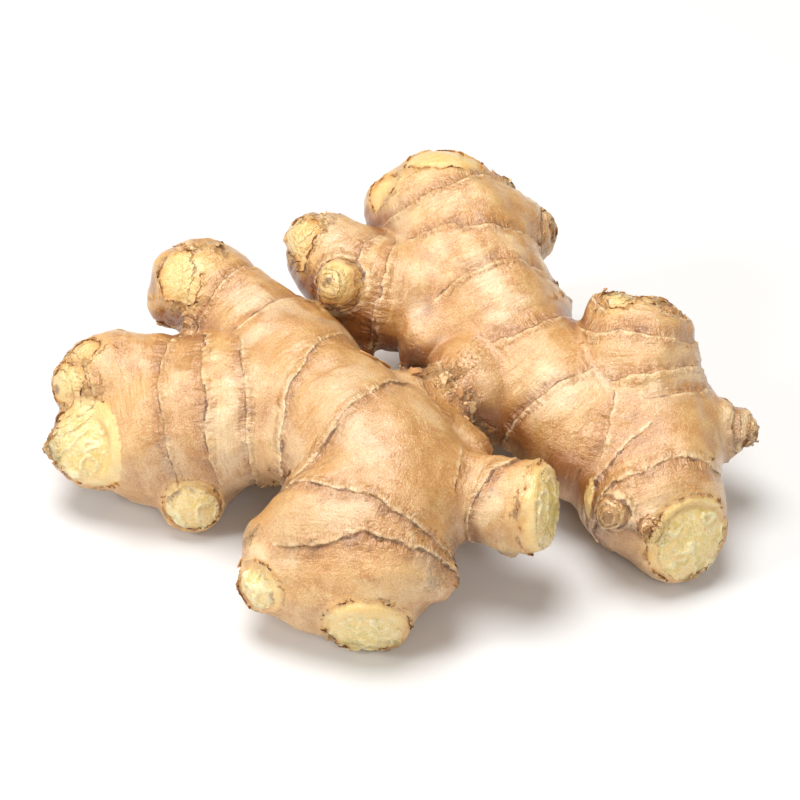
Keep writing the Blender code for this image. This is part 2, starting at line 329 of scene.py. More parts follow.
class Finger:
    """One finger: its balls, and the coordinates along and across its spine."""

    def __init__(self, plan, end_plan):
        self.spine = balls_of(plan["spine"])
        self.lobes = [self.spine] + [balls_of(knob) for knob in plan.get("knobs", [])]
        rings = plan.get("rings", [])
        self.rings = [(ring, (0, 0, 0)) if np.isscalar(ring) else ring for ring in rings]
        centres = self.spine[:, :3]
        steps = lengths(np.diff(centres, axis=0))
        self.along = np.concatenate([[0], np.cumsum(steps)])
        ways = np.gradient(centres, axis=0)
        self.ways = ways / lengths(ways)[:, None]
        self.sides = self.carried_sides()
        self.end = BrokenEnd(self, end_plan) if end_plan else None

    def carried_sides(self):
        """Two directions across the spine at each ball, carried along it without twist."""
        side = np.cross(self.ways[0], (0, 0, 1.0))
        pairs = []
        for way in self.ways:
            side = side - way * (side @ way)
            side /= np.linalg.norm(side)
            pairs.append((side, np.cross(way, side)))
        return np.array(pairs)

    def surface(self, points):
        """Distance to the finger with its knobs, and the way out, at each point."""
        gaps, ways = [], []
        for balls in self.lobes:
            gap, which = nearest_ball(points, balls)
            out = points - balls[which, :3]
            gaps.append(gap)
            ways.append(out / (lengths(out)[:, None] + 1e-9))
        gap, share = soft_minimum(np.array(gaps), KNOB_CREASE)
        return gap, np.einsum("ln,lnk->nk", share, np.array(ways))

    def coordinates(self, points):
        """How far along the spine each point is, and where it is across the spine."""
        which = nearest_ball(points, self.spine)[1]
        out = points - self.spine[which, :3]
        along = self.along[which] + np.einsum("nk,nk->n", out, self.ways[which])
        across = np.einsum("nk,nsk->ns", out, self.sides[which])
        return along, across

    def ring_distance(self, points, along):
        """Signed distance to the nearest ring, positive towards the tip, and the number of that ring."""
        best = np.full(len(points), NO_RING)
        number = np.full(len(points), -1)
        for index, (place, lean) in enumerate(self.rings):
            middle = np.array([np.interp(place, self.along, self.spine[:, k]) for k in range(3)])
            wander = 0.9 * noise(points, 9, 31 + index) + 0.35 * noise(points, 2.6, 57 + index)
            gap = along - place + (points - middle) @ np.array(lean, float) + wander
            nearer = np.abs(gap) < np.abs(best)
            best[nearer] = gap[nearer]
            number[gap > 0] = np.maximum(number[gap > 0], index)
        return best, number


def soft_minimum(gaps, softness):
    """The smooth minimum over the first axis, and each row's share in it."""
    low = gaps.min(0)
    weights = np.exp(-(gaps - low) / softness)
    total = weights.sum(0)
    return low - softness * np.log(total), weights / total


class BrokenEnd:
    """The flat face of a broken finger and the bare band behind it."""

    def __init__(self, finger, plan):
        facing, reach, self.band, lean = plan
        self.finger = finger
        self.facing = np.array(facing, float) / np.linalg.norm(facing)
        self.radius = math.sqrt(finger.spine[-1, 3] ** 2 - reach**2)
        self.middle = finger.spine[-1, :3] + self.facing * reach
        self.lean = np.array(lean, float)

    def heights(self, points):
        """How far each point is past the domed face, and how far from its axis."""
        out = points - self.middle
        height = out @ self.facing
        away = lengths(out - height[:, None] * self.facing)
        return height - DOME * (1 - 1.4 * np.minimum(away / self.radius, 1.2) ** 2), away

    def cut(self, points, gap, way):
        """Takes away what lies past the face from the finger's distance and way out."""
        height, away = self.heights(points)
        height = height - 1.5 * np.maximum(away - self.radius - 1, 0)
        joined, share = soft_minimum(np.array([-gap, -height]), EDGE)
        return -joined, share[0][:, None] * way + share[1][:, None] * self.facing

    def near(self, points):
        height, away = self.heights(points)
        return (height > -self.band * 3 - 3) & (height < 7) & (away < self.radius + 6)

    def skin_edge(self, points):
        """Distance to the edge of the skin: negative on bare flesh."""
        height, away = self.heights(points)
        wander = 0.9 * noise(points, 6, 71) + 0.5 * noise(points, 2.2, 72) + 0.2 * noise(points, 0.9, 73)
        band = self.band + (points - self.middle) @ self.lean + self.band * 0.35 * wander
        edge = -height - np.maximum(band, 0.15)
        return edge + 2 * np.maximum(away - self.radius - self.band - 0.8, 0)


class Root:
    """All the fingers together."""

    def __init__(self):
        self.fingers = [Finger(plan, BROKEN_ENDS.get(name)) for name, plan in FINGERS.items()]
        self.ends = [finger.end for finger in self.fingers if finger.end]

    def gaps(self, points):
        """Distance to each finger and the way out of it, for points near the skin."""
        reach, out_of_reach = 9, 60.0
        gaps = np.full((len(self.fingers), len(points)), out_of_reach)
        ways = np.zeros((len(self.fingers), len(points), 3))
        for index, finger in enumerate(self.fingers):
            balls = np.vstack(finger.lobes)
            low = (balls[:, :3] - balls[:, 3:]).min(0) - reach
            high = (balls[:, :3] + balls[:, 3:]).max(0) + reach
            near = np.all((points > low) & (points < high), axis=1)
            gap, way = finger.surface(points[near])
            if finger.end:
                gap, way = finger.end.cut(points[near], gap, way)
            gaps[index, near], ways[index, near] = gap, way
        return gaps, ways

    def surface(self, points):
        """Distance to the skin and the way out at each point."""
        gaps, ways = self.gaps(points)
        gap, share = soft_minimum(gaps, CREASE)
        way = np.einsum("fn,fnk->nk", share, ways)
        return gap, way / (lengths(way)[:, None] + 1e-9)

    def settle(self, points, rounds=4):
        """Moves points onto the skin, and gives the way out at each."""
        for _ in range(rounds):
            gap, way = self.surface(points)
            points = points - way * np.clip(gap, -1.5, 1.5)[:, None]
        return points, way

    def read(self, points):
        """What the skin is like at each point."""
        gaps, _ = self.gaps(points)
        order = np.sort(gaps, axis=0)
        owner = gaps.argmin(0)
        field = {
            "seam": np.minimum(order[1] - order[0], 20),
            "ring": np.full(len(points), NO_RING),
            "tone": np.zeros(len(points)),
            "grain": np.zeros((len(points), 3)),
            "tip": np.zeros((len(points), 3)),
        }
        for index, finger in enumerate(self.fingers):
            mine = owner == index
            along, across = finger.coordinates(points[mine])
            ring, number = finger.ring_distance(points[mine], along)
            field["ring"][mine] = ring
            field["tone"][mine] = lattice(np.stack([number, number * 0 + index, number * 0], 1), 5) * 2 - 1
            field["grain"][mine] = np.column_stack([across, along])
            field["tip"][mine] = finger.ways[nearest_ball(points[mine], finger.spine)[1]]
        self.read_eyes(points, field)
        self.read_ends(points, field, gaps)
        self.read_bare_spots(points, field)
        return field

    def read_bare_spots(self, points, field):
        for index, (*middle, radius) in enumerate(BARE_SPOTS):
            out = np.array(middle) - points
            away = lengths(out)
            wander = 0.22 * noise(points, 5, 51 + index) + 0.12 * noise(points, 2, 52 + index)
            edge = away - radius * (1 + wander) + 0.15 * noise(points, 0.9, 53)
            near = edge < field["peel"]
            field["peel"][near] = edge[near]
            field["out"][near] = out[near]

    def read_eyes(self, points, field):
        """Rings round the eyes, and how near each point is to an eye's middle."""
        field["eye"] = np.full(len(points), FAR)
        for index, (middle, facing, rings) in enumerate(EYES):
            out = points - np.array(middle)
            facing = np.array(facing) / np.linalg.norm(facing)
            height = out @ facing
            away = lengths(out - height[:, None] * facing)
            away = away + 0.35 * noise(points, 3, 91 + index) + 0.2 * noise(points, 1.2, 92 + index)
            near = (np.abs(height) < rings[0] * 1.1) & (away < rings[0] * 1.6)
            field["eye"][near] = np.minimum(field["eye"][near], away[near] / rings[0])
            field["ring"][near & (away < rings[0])] = NO_RING
            inward = -(out - height[:, None] * facing)
            for radius in rings:
                gap = radius - away
                closer = near & (np.abs(gap) < np.abs(field["ring"])) & (away < rings[0] * 1.25)
                field["ring"][closer] = gap[closer]
                field["tip"][closer] = inward[closer]

    def read_ends(self, points, field, gaps):
        """The bare bands and faces of the broken ends."""
        field["peel"] = np.full(len(points), FAR)
        field["face"] = np.full(len(points), FAR)
        field["rim"] = np.zeros(len(points))
        field["out"] = np.zeros((len(points), 3))
        for end in self.ends:
            near = np.flatnonzero(end.near(points))
            edge = end.skin_edge(points[near])
            near = near[edge < field["peel"][near]]
            field["peel"][near] = end.skin_edge(points[near])
            field["out"][near] = end.facing
            height, away = end.heights(points[near])
            field["face"][near] = np.where(away < end.radius + 0.5, np.maximum(-height, 0), FAR)
            field["rim"][near] = -end.finger.surface(points[near])[0]


# ---- The skin's shape --------------------------------------------------------------------------


def add_object(name, mesh):
    piece = bpy.data.objects.new(name, mesh)
    bpy.context.collection.objects.link(piece)
    return piece


def unit_ball():
    """Corners and faces of a ball of radius 1."""
    bm = bmesh.new()
    bmesh.ops.create_icosphere(bm, subdivisions=3, radius=1)
    corners = np.array([vertex.co for vertex in bm.verts])
    faces = np.array([[vertex.index for vertex in face.verts] for face in bm.faces])
    bm.free()
    return corners, faces


def rough_shape(root, grain):
    """Corners and faces of an even net of four-sided faces round all the balls."""
    corners, faces = unit_ball()
    balls = np.vstack([lobe for finger in root.fingers for lobe in finger.lobes])
    points = (balls[:, None, :3] + corners[None] * balls[:, None, 3:]).reshape(-1, 3) * MM
    polygons = (faces[None] + (np.arange(len(balls)) * len(corners))[:, None, None]).reshape(-1, 3)
    mesh = bpy.data.meshes.new("balls")
    mesh.from_pydata(points.tolist(), [], polygons.tolist())
    piece = add_object("balls", mesh)
    remesh = piece.modifiers.new("net", "REMESH")
    remesh.mode = "VOXEL"
    remesh.voxel_size = grain * MM
    done = piece.evaluated_get(bpy.context.evaluated_depsgraph_get())
    net = bpy.data.meshes.new_from_object(done)
    bpy.data.objects.remove(piece)
    bpy.data.meshes.remove(mesh)
    return net


def get_points(mesh):
    points = np.empty(len(mesh.vertices) * 3)
    mesh.vertices.foreach_get("co", points)
    return points.reshape(-1, 3) / MM


def set_points(mesh, points):
    mesh.vertices.foreach_set("co", (points * MM).ravel())
    mesh.update()


def relief(points, field):
    """How far the skin stands out from the smooth fingers at each point."""
    ring, peel, face = field["ring"], field["peel"], field["face"]
    skin = ramp(peel, -0.3, 0.3)
    open_skin = ramp(field["seam"], 0.3, 2.2)
    patchy = 0.1 + 0.9 * ramp(noise(points, 6, 11) + 0.4 * noise(points, 2, 12), -0.8, 0.6)
    lumps = 0.6 * noise(points, 13, 1) + 0.32 * noise(points, 5.5, 2) + 0.11 * noise(points, 2.4, 3)
    puckered = 0.15 + 0.85 * ramp(np.abs(ring), 5, 0.5)
    wrinkles = 0.3 * noise(field["grain"] * (1, 1, 0.3), 1.9, 4) * open_skin * puckered
    wrinkles += 0.16 * noise(field["grain"] * (0.13, 0.13, 1), 1.6, 6) * open_skin
    waist = np.where(ring < 0, -0.45 * (1 - ramp(-ring, 0, 3.5)), -0.7 * (1 - ramp(ring, 0, 5)))
    lip = 0.36 * np.exp(-(((ring + 0.45) / 0.55) ** 2)) - 0.25 * np.exp(-(((ring - 0.4) / 0.55) ** 2))
    field["near_ring"] = 1 - ramp(np.abs(ring), 1.5, 2.2)
    field["past_ring"] = np.where(ring > 0, ramp(ring, 3.6, 0.2), 0)
    skin_lip = 0.4 * np.exp(-(((peel - 0.4) / 0.5) ** 2)) * patchy
    flesh_dip = -0.35 * (1 - ramp(peel, -0.3, 0.2)) * (1 - ramp(peel, -0.6, -3.5))
    crust = field["crust"] * 0.75 * rough(points, 2.6, 3, 21)
    # Painted light and shade that follow the relief: raised lumps and ring lips paler, the waists by the
    # rings darker.
    field["worn"] = 0.5 + 0.3 * lumps + 0.5 * (waist + 0.45) * open_skin + 0.5 * lip * patchy * open_skin
    height = lumps + skin * ((waist + lip * patchy) * open_skin + wrinkles + crust) + skin_lip + flesh_dip
    flat = ramp(face, 0.9, 0.25)
    field["fibre"] = ridges(points, 3.4, 43) * flat
    torn = 0.3 * rough(points, 2.6, 3, 41) + 0.55 * field["fibre"] - 0.35
    return height * (1 - flat) + torn * flat


def refine(mesh, chosen):
    """Splits the faces whose corners are all chosen into four."""
    bm = bmesh.new()
    bm.from_mesh(mesh)
    faces = [face for face in bm.faces if all(chosen[vertex.index] for vertex in face.verts)]
    edges = list({edge for face in faces for edge in face.edges})
    bmesh.ops.subdivide_edges(bm, edges=edges, cuts=1, use_grid_fill=True)
    bmesh.ops.triangulate(bm, faces=[face for face in bm.faces if len(face.verts) > 4])
    bm.to_mesh(mesh)
    bm.free()


def read_crust(points, field):
    """How dry and flaky the skin is, and how near each point is to a root scar's middle."""
    crust = np.zeros(len(points))
    for *middle, radius, strength in CRUSTS:
        away = lengths(points - np.array(middle)) / radius
        crust = np.maximum(crust, strength * ramp(away + 0.35 * noise(points, 3.5, 61), 1.15, 0.35))
    near_skin_edge = ramp(np.abs(field["peel"] - 0.6) + 0.6 * noise(points, 2.5, 63), 1.0, 0.1)
    field["crust"] = np.clip(np.maximum(crust, 0.6 * near_skin_edge), 0, 1)
    rng = np.random.default_rng(7)
    likely = (np.abs(field["ring"]) > 0.9) & (np.abs(field["ring"]) < 3.2) & (field["peel"] > 1.5)
    chosen = rng.choice(np.flatnonzero(likely), SCARS, replace=False)
    field["scar"] = np.full(len(points), FAR)
    for middle in points[chosen]:
        size = rng.uniform(0.5, 1.1)
        away = lengths(points - middle)
        near = away < 3 * size
        field["scar"][near] = np.minimum(field["scar"][near], away[near] / size)


def scar_relief(field):
    """Each root scar is a small ring with a sunken middle."""
    away = field["scar"]
    return 0.38 * np.exp(-(((away - 0.75) / 0.45) ** 2)) - 0.3 * np.exp(-((away / 0.4) ** 2))


def add_numbers(mesh, field):
    """Keeps what the material reads on the mesh's corners."""
    for name in NUMBERS:
        layer = mesh.attributes.new(name, "FLOAT", "POINT")
        layer.data.foreach_set("value", np.clip(field[name], -FAR, FAR).astype(np.float32))
    layer = mesh.attributes.new("grain", "FLOAT_VECTOR", "POINT")
    layer.data.foreach_set("vector", field["grain"].astype(np.float32).ravel())


def make_skin(root, material):
    mesh = rough_shape(root, GRAIN)
    points, _ = root.settle(get_points(mesh))
    set_points(mesh, points)
    field = root.read(points)
    refine(mesh, (np.abs(field["ring"]) < FINE_REACH + 0.3) | (np.abs(field["peel"]) < FINE_REACH)
           | (field["face"] < 1))
    points, way = root.settle(get_points(mesh), rounds=2)
    field = root.read(points)
    # How enclosed each place is by other fingers, for the painted shade there.
    field["hollow"] = 1 - root.surface(points + way * HOLLOW_REACH)[0] / HOLLOW_REACH
    read_crust(points, field)
    height = relief(points, field) + scar_relief(field) * ramp(field["peel"], 0.2, 1)
    points = points + way * height[:, None]
    points[:, 2] = np.maximum(points[:, 2], 0)
    set_points(mesh, points)
    mesh.name = "ginger_flesh"
    mesh.shade_smooth()
    mesh.materials.clear()
    mesh.materials.append(material)
    add_numbers(mesh, field)
    return add_object("ginger_body", mesh), points, way, field


# ---- Scales ----


def thinned(points, spacing):
    """Rows of points that keep about spacing from each other, in order."""
    cells = np.floor(points / spacing).astype(np.int64)
    _, first = np.unique(cells, axis=0, return_index=True)
    return np.sort(first)


SCALE_ROWS = 4  # across a scale, from its root to its free edge
SCALE_COLUMNS = 6
SCALE_THICKNESS = 0.14
LOWEST_SCALE = 0.6  # above the floor
JUMP = 1.6  # values that differ by more than this across one edge belong to two different rings

# Each kind of scale: how far its tip turns, then the least and most width, length, lift and shade.
SCALE_KINDS = {
    "ring_scales": (0.25, (0.8, 2.2), (0.25, 0.7), (0, 0.28), (0.15, 1.15)),
    "skin_edge_scales": (0.3, (0.8, 2.4), (0.2, 0.7), (0, 0.25), (0, 0.7)),
    "crust_scales": (0.6, (0.8, 2.6), (0.4, 1.3), (0, 0.5), (0.1, 1.1)),
}


def places_on_edges(mesh, points, values, groups, spacing):
    """Where values cross zero along the mesh's edges inside a group: a corner near each, and the place."""
    pairs = np.empty(len(mesh.edges) * 2, int)
    mesh.edges.foreach_get("vertices", pairs)
    first, second = pairs.reshape(-1, 2).T
    a, b = values[first], values[second]
    crossing = (a * b < 0) & (np.abs(a - b) < JUMP) & (groups[first] == groups[second])
    first, second, a, b = first[crossing], second[crossing], a[crossing], b[crossing]
    part = (a / (a - b))[:, None]
    middles = points[first] * (1 - part) + points[second] * part
    keep = thinned(middles, spacing)
    return first[keep], middles[keep]


def scattered(name, rng, seed, middles, ways, tips, gains=(1, 1, 1)):
    """Scales of the named kind at middles; gains make them wider, longer and higher."""
    turn, *ranges = SCALE_KINDS[name]
    count = len(middles)
    tips = tips + rng.normal(0, turn, (count, 3))
    widths, reaches, lifts, shades = [rng.uniform(least, most, count) for least, most in ranges]
    wider, longer, higher = gains
    sizes = (widths * wider, reaches * longer, lifts * higher)
    return scale_mesh(name, middles, ways, tips, *sizes, shades, seed + 1)


def scale_mesh(name, middles, ways, tips, widths, reaches, lifts, shades, seed):
    """Small ragged scales: each grows from its middle towards its tip and lifts off the skin."""
    rng = np.random.default_rng(seed)
    count = len(middles)
    tips = tips - ways * np.einsum("nk,nk->n", tips, ways)[:, None]
    tips /= lengths(tips)[:, None] + 1e-9
    sides = np.cross(ways, tips)
    u = np.linspace(-1, 1, SCALE_COLUMNS)[None, :, None]
    v = np.linspace(0, 1, SCALE_ROWS)[None, None, :]
    ragged = rng.uniform(0.45, 1.15, (count, SCALE_COLUMNS, 1)) * (1 - 0.55 * np.abs(u) ** 2.5)
    across = u * (1 - 0.25 * v) + rng.uniform(-0.12, 0.12, (count, SCALE_COLUMNS, SCALE_ROWS)) * v
    forward = (v * 1.25 - 0.25) * ragged
    height = -0.22 + (0.3 + lifts[:, None, None]) * v**1.4 + rng.uniform(-0.08, 0.1, across.shape) * v
    across = across * widths[:, None, None] / 2
    forward = forward * reaches[:, None, None]
    droop = across**2 / 14  # follows the finger's round side
    top = (middles[:, None, None] + across[..., None] * sides[:, None, None]
           + forward[..., None] * tips[:, None, None] + (height - droop)[..., None] * ways[:, None, None])
    under = top - ways[:, None, None] * SCALE_THICKNESS
    corners = np.concatenate([top, under], axis=1).reshape(-1, 3)
    return closed_sheets(name, corners, count, shades)


def sheet_faces():
    """The faces of one closed sheet: its top, its underside and the walls round it."""
    index = np.arange(2 * SCALE_COLUMNS * SCALE_ROWS).reshape(2, SCALE_COLUMNS, SCALE_ROWS)
    top, under = index
    faces = []
    for i in range(SCALE_COLUMNS - 1):
        for j in range(SCALE_ROWS - 1):
            faces.append((top[i, j], top[i + 1, j], top[i + 1, j + 1], top[i, j + 1]))
            faces.append((under[i, j], under[i, j + 1], under[i + 1, j + 1], under[i + 1, j]))
    rim = [(i, 0) for i in range(SCALE_COLUMNS)] + [(SCALE_COLUMNS - 1, j) for j in range(1, SCALE_ROWS)]
    rim += [(i, SCALE_ROWS - 1) for i in range(SCALE_COLUMNS - 2, -1, -1)]
    rim += [(0, j) for j in range(SCALE_ROWS - 2, 0, -1)]
    for here, there in zip(rim, rim[1:] + rim[:1]):
        faces.append((top[there], top[here], under[here], under[there]))
    return np.array(faces)


def closed_sheets(name, corners, count, shades):
    """One mesh of many closed sheets, with each sheet's shade on its corners."""
    one = sheet_faces()
    size = 2 * SCALE_COLUMNS * SCALE_ROWS
    faces = (one[None] + (np.arange(count) * size)[:, None, None]).reshape(-1, 4)
    mesh = bpy.data.meshes.new(name)
    corners[:, 2] = np.maximum(corners[:, 2], 0.02)
    mesh.from_pydata((corners * MM).tolist(), [], faces.tolist())
    layer = mesh.attributes.new("shade", "FLOAT", "POINT")
    layer.data.foreach_set("value", np.repeat(shades, size).astype(np.float32))
    mesh.shade_smooth()
    return mesh


def scales_on_rings(mesh, points, way, field, seed):
    """Scales along the growth rings, thick in some stretches and missing in others."""
    rng = np.random.default_rng(seed)
    near, middles = places_on_edges(mesh, points, field["ring"], field["tone"], 0.8)
    thick = noise(middles, 7, 81) + 0.5 * noise(middles, 2.5, 82) + 0.6 * field["crust"][near]
    thick = ramp(thick, -0.5, 0.9)
    shown = (rng.random(len(near)) < 0.15 + 0.75 * thick) & (field["peel"][near] > 0.6)
    shown &= (field["seam"][near] > 0.5) & (middles[:, 2] > LOWEST_SCALE)
    near, middles, thick = near[shown], middles[shown], thick[shown]
    gains = (0.6 + thick, 0.5 + thick, thick)
    return scattered("ring_scales", rng, seed, middles, way[near], field["tip"][near], gains)


def scales_on_skin_edges(mesh, points, way, field, seed):
    """The torn brown edge of the skin round each broken end."""
    rng = np.random.default_rng(seed)
    near, middles = places_on_edges(mesh, points, field["peel"], field["peel"] * 0, 0.7)
    thick = ramp(noise(middles, 4, 84) + 0.4 * noise(middles, 1.5, 85), -0.5, 0.6)
    shown = (rng.random(len(near)) < thick) & (middles[:, 2] > 0.5)
    near, middles = near[shown], middles[shown]
    return scattered("skin_edge_scales", rng, seed, middles, way[near], field["out"][near])


def scales_on_crust(points, way, field, seed):
    """Loose dry scales where the skin is flaking."""
    rng = np.random.default_rng(seed)
    chance = np.clip(field["crust"] - 0.25, 0, 1) * (field["peel"] > 0.8)
    order = rng.permutation(np.flatnonzero(rng.random(len(points)) < chance * 0.1))
    order = order[thinned(points[order], 1.1)]
    order = order[points[order, 2] > LOWEST_SCALE]
    return scattered("crust_scales", rng, seed, points[order], way[order], field["tip"][order])


def flaps(points, way, field, seed):
    """The larger loose flaps, each on the skin's corner nearest to its place."""
    rng = np.random.default_rng(seed)
    places = np.array(FLAPS)[:, :3]
    widths, reaches, lifts = np.array(FLAPS)[:, 3:].T
    nearest = np.array([lengths(points - place).argmin() for place in places])
    tips = field["tip"][nearest] + rng.normal(0, 0.2, (len(places), 3))
    shades = rng.uniform(0.25, 0.95, len(places))
    sizes = (widths, reaches, 0.7 * lifts)
    return scale_mesh("skin_flaps", points[nearest], way[nearest], tips, *sizes, shades, seed + 1)


# ---- Materials ----


def colour(*screen):
    """A colour from its red, green and blue on a screen, 0 to 255."""
    return tuple(((value / 255 + 0.055) / 1.055) ** 2.4 for value in screen) + (1,)


class Nodes:
    """Short ways to add shader nodes."""

    def __init__(self, name):
        self.material = bpy.data.materials.new(name)
        self.material.use_nodes = True
        self.tree = self.material.node_tree
        self.shader = self.tree.nodes["Principled BSDF"]

    def add(self, kind, **settings):
        node = self.tree.nodes.new(kind)
        for key, value in settings.items():
            setattr(node, key, value)
        return node

    def put(self, socket, value):
        if isinstance(value, bpy.types.NodeSocket):
            self.tree.links.new(value, socket)
        else:
            socket.default_value = value

    def read(self, name, output="Fac"):
        return self.add("ShaderNodeAttribute", attribute_name=name).outputs[output]

    def math(self, operation, *values):
        node = self.add("ShaderNodeMath", operation=operation)
        for socket, value in zip(node.inputs, values):
            self.put(socket, value)
        return node.outputs[0]

    def times(self, first, second):
        return self.math("MULTIPLY", first, second)

    def plus(self, first, second):
        return self.math("ADD", first, second)

    def ramp(self, value, start, end, low=0.0, high=1.0):
        """Goes smoothly from low at start to high at end; start may be the larger."""
        node = self.add("ShaderNodeMapRange", interpolation_type="SMOOTHSTEP")
        if start > end:
            start, end, low, high = end, start, high, low
        names = ("Value", "From Min", "From Max", "To Min", "To Max")
        for name, number in zip(names, (value, start, end, low, high)):
            self.put(node.inputs[name], number)
        return node.outputs["Result"]

    def mix(self, share, first, second):
        node = self.add("ShaderNodeMix", data_type="RGBA")
        self.put(node.inputs[0], share)
        self.put(node.inputs[6], first)
        self.put(node.inputs[7], second)
        return node.outputs[2]

    def painted(self, look, *coats):
        """Lays colours over look, each given as its share and its screen values, 0 to 255."""
        for share, paint in coats:
            look = self.mix(share, look, colour(*paint))
        return look

    def scaled(self, vector, scale):
        node = self.add("ShaderNodeVectorMath", operation="MULTIPLY")
        self.put(node.inputs[0], vector)
        node.inputs[1].default_value = scale
        return node.outputs[0]

    def millimetres(self):
        return self.scaled(self.add("ShaderNodeTexCoord").outputs["Object"], (1000, 1000, 1000))

    def noise(self, vector, size, detail=3.0, roughness=0.55):
        """Noise from 0 to 1 with lumps about size across, in the vector's own unit."""
        node = self.add("ShaderNodeTexNoise")
        self.put(node.inputs["Vector"], vector)
        node.inputs["Scale"].default_value = 1 / size
        node.inputs["Detail"].default_value = detail
        node.inputs["Roughness"].default_value = roughness
        return node.outputs["Fac"]

    def swing(self, value, size):
        """A noise from 0 to 1, moved round 0 and made size across."""
        return self.times(self.plus(value, -0.5), size)

    def bump(self, height, depth, before=None):
        """Roughens the surface: height from 0 to 1 stands for depth in metres."""
        node = self.add("ShaderNodeBump")
        node.inputs["Distance"].default_value = depth
        self.put(node.inputs["Height"], height)
        if before is not None:
            self.put(node.inputs["Normal"], before)
        return node.outputs["Normal"]


class SkinNodes(Nodes):
    """What the root's material reads from the mesh, and the noises that its parts share."""

    def __init__(self):
        super().__init__("ginger_skin")
        self.place = self.millimetres()
        self.grain = self.read("grain", "Vector")
        for name in NUMBERS:
            setattr(self, name, self.read(name))
        self.regions = self.noise(self.place, 14, 2)
        self.patches = self.noise(self.place, 5, 3)
        self.stretches = self.noise(self.place, 3.6, 3)
        self.blotches = self.noise(self.place, 2.4, 4)
        self.fine = self.noise(self.place, 0.7, 4, 0.65)
        self.grit = self.noise(self.place, 0.3, 2, 0.6)
        self.in_grain = self.ramp(self.seam, 0.3, 2.5)
        self.puckered = self.math("MAXIMUM", self.near_ring, self.past_ring)
        self.hoops = self.noise(self.scaled(self.grain, (0.13, 0.13, 1)), 1.1, 3, 0.6)
        self.streaks = self.noise(self.scaled(self.grain, (1, 1, 0.35)), 0.5, 3)
        self.edge = self.plus(self.ring, self.swing(self.fine, 1.3))
        self.bare_edge = self.plus(self.peel, self.swing(self.fine, 0.9))
        self.on_face = self.ramp(self.plus(self.face, self.swing(self.fine, 1.2)), 0.8, 0.4)
        self.dryness = self.ramp(self.plus(self.crust, self.swing(self.fine, 1.6)), 0.4, 1.0)
        width = self.ramp(self.stretches, 0.42, 0.66, 0.05, 0.3)
        self.line = self.math("DIVIDE", self.math("ABSOLUTE", self.edge), width)
        self.line = self.times(self.near_ring, self.ramp(self.line, 1.2, 0.4))


def skin_colour(n):
    """The tan, mottled skin, with its grit, fibres, painted relief light and shade, and painted shade in
    hollows.
    """
    # The paleness carries random patches and the painted light and shade that follow the relief.
    paleness = n.plus(n.worn, n.swing(n.patches, 0.9))
    paleness = n.plus(paleness, n.swing(n.blotches, 1.0))
    paleness = n.plus(paleness, n.times(n.swing(n.hoops, 0.6), n.in_grain))
    # Painted shade: darker, browner colour where other fingers are near.
    painted_hollow_shade = n.ramp(n.plus(n.hollow, n.swing(n.blotches, 0.5)), 0.12, 0.75)
    return n.painted(
        colour(138, 76, 12),
        (n.ramp(paleness, 0.0, 0.5), (196, 133, 56)),
        (n.ramp(paleness, 0.42, 1.0), (227, 184, 118)),
        (n.ramp(n.regions, 0.45, 0.6, 0, 0.4), (218, 154, 66)),
        (n.ramp(n.regions, 0.46, 0.36, 0, 0.45), (246, 220, 178)),
        (n.ramp(n.tone, -0.9, 0.9, 0, 0.35), (192, 136, 70)),
        (n.times(n.ramp(n.streaks, 0.5, 0.34, 0, 0.4), n.puckered), (176, 118, 64)),
        (n.ramp(n.grit, 0.5, 0.66, 0, 0.45), (248, 220, 172)),
        (n.ramp(n.grit, 0.43, 0.28, 0, 0.5), (150, 90, 32)),
        (n.times(painted_hollow_shade, 0.8), (146, 76, 10)),
    )


def ring_colour(n, look):
    """A growth ring: a pale lip before its edge, partly painted highlight; a thin broken brown line, partly
    painted shadow; darker past it.
    """
    past = n.times(n.past_ring, n.ramp(n.stretches, 0.3, 0.65, 0.05, 0.45))
    # The pale lip is papery skin and a painted highlight on the ring's raised edge.
    lip = n.times(n.near_ring, n.times(n.ramp(n.edge, -1.2, -0.35), n.ramp(n.edge, 0.05, -0.2)))
    lip = n.times(lip, n.ramp(n.blotches, 0.4, 0.6, 0.1, 0.75))
    look = n.painted(look, (past, (176, 112, 48)), (lip, (246, 214, 162)))
    # The brown line is ring scar and a painted shadow under the ring's edge.
    brown = n.painted(colour(178, 122, 66), (n.ramp(n.stretches, 0.46, 0.62), (116, 68, 30)))
    return n.mix(n.times(n.line, n.ramp(n.stretches, 0.4, 0.58, 0.35, 0.85)), look, brown)


def worn_and_crease_shade_colour(n, look):
    """Dry flaking places, creases darkened by dry brown and painted shade, root scars and eyes."""
    flakes = n.ramp(n.noise(n.place, 1.6, 3), 0.36, 0.56)
    dry = n.painted(colour(180, 122, 66), (flakes, (240, 200, 144)))
    # Creases where fingers meet inside dry places turn dark brown: partly dry skin, partly painted shade.
    crevice_dirt_and_shade = n.times(n.ramp(n.seam, 1.0, 0.1), n.ramp(n.crust, 0.3, 0.8))
    thin = n.ramp(n.plus(n.peel, n.swing(n.blotches, 3.0)), 3.2, 0)
    return n.painted(
        n.mix(n.times(n.dryness, 0.6), look, dry),
        (n.times(crevice_dirt_and_shade, 0.7), (112, 64, 28)),
        (n.times(thin, 0.6), (242, 194, 116)),
        (n.ramp(n.scar, 1.2, 0.6, 0, 0.3), (164, 112, 64)),
        (n.ramp(n.scar, 0.4, 0.1, 0, 0.6), (104, 64, 34)),
        (n.ramp(n.eye, 1.0, 0.5, 0, 0.4), (222, 172, 94)),
        (n.ramp(n.eye, 0.38, 0.15, 0, 0.6), (150, 98, 50)),
    )


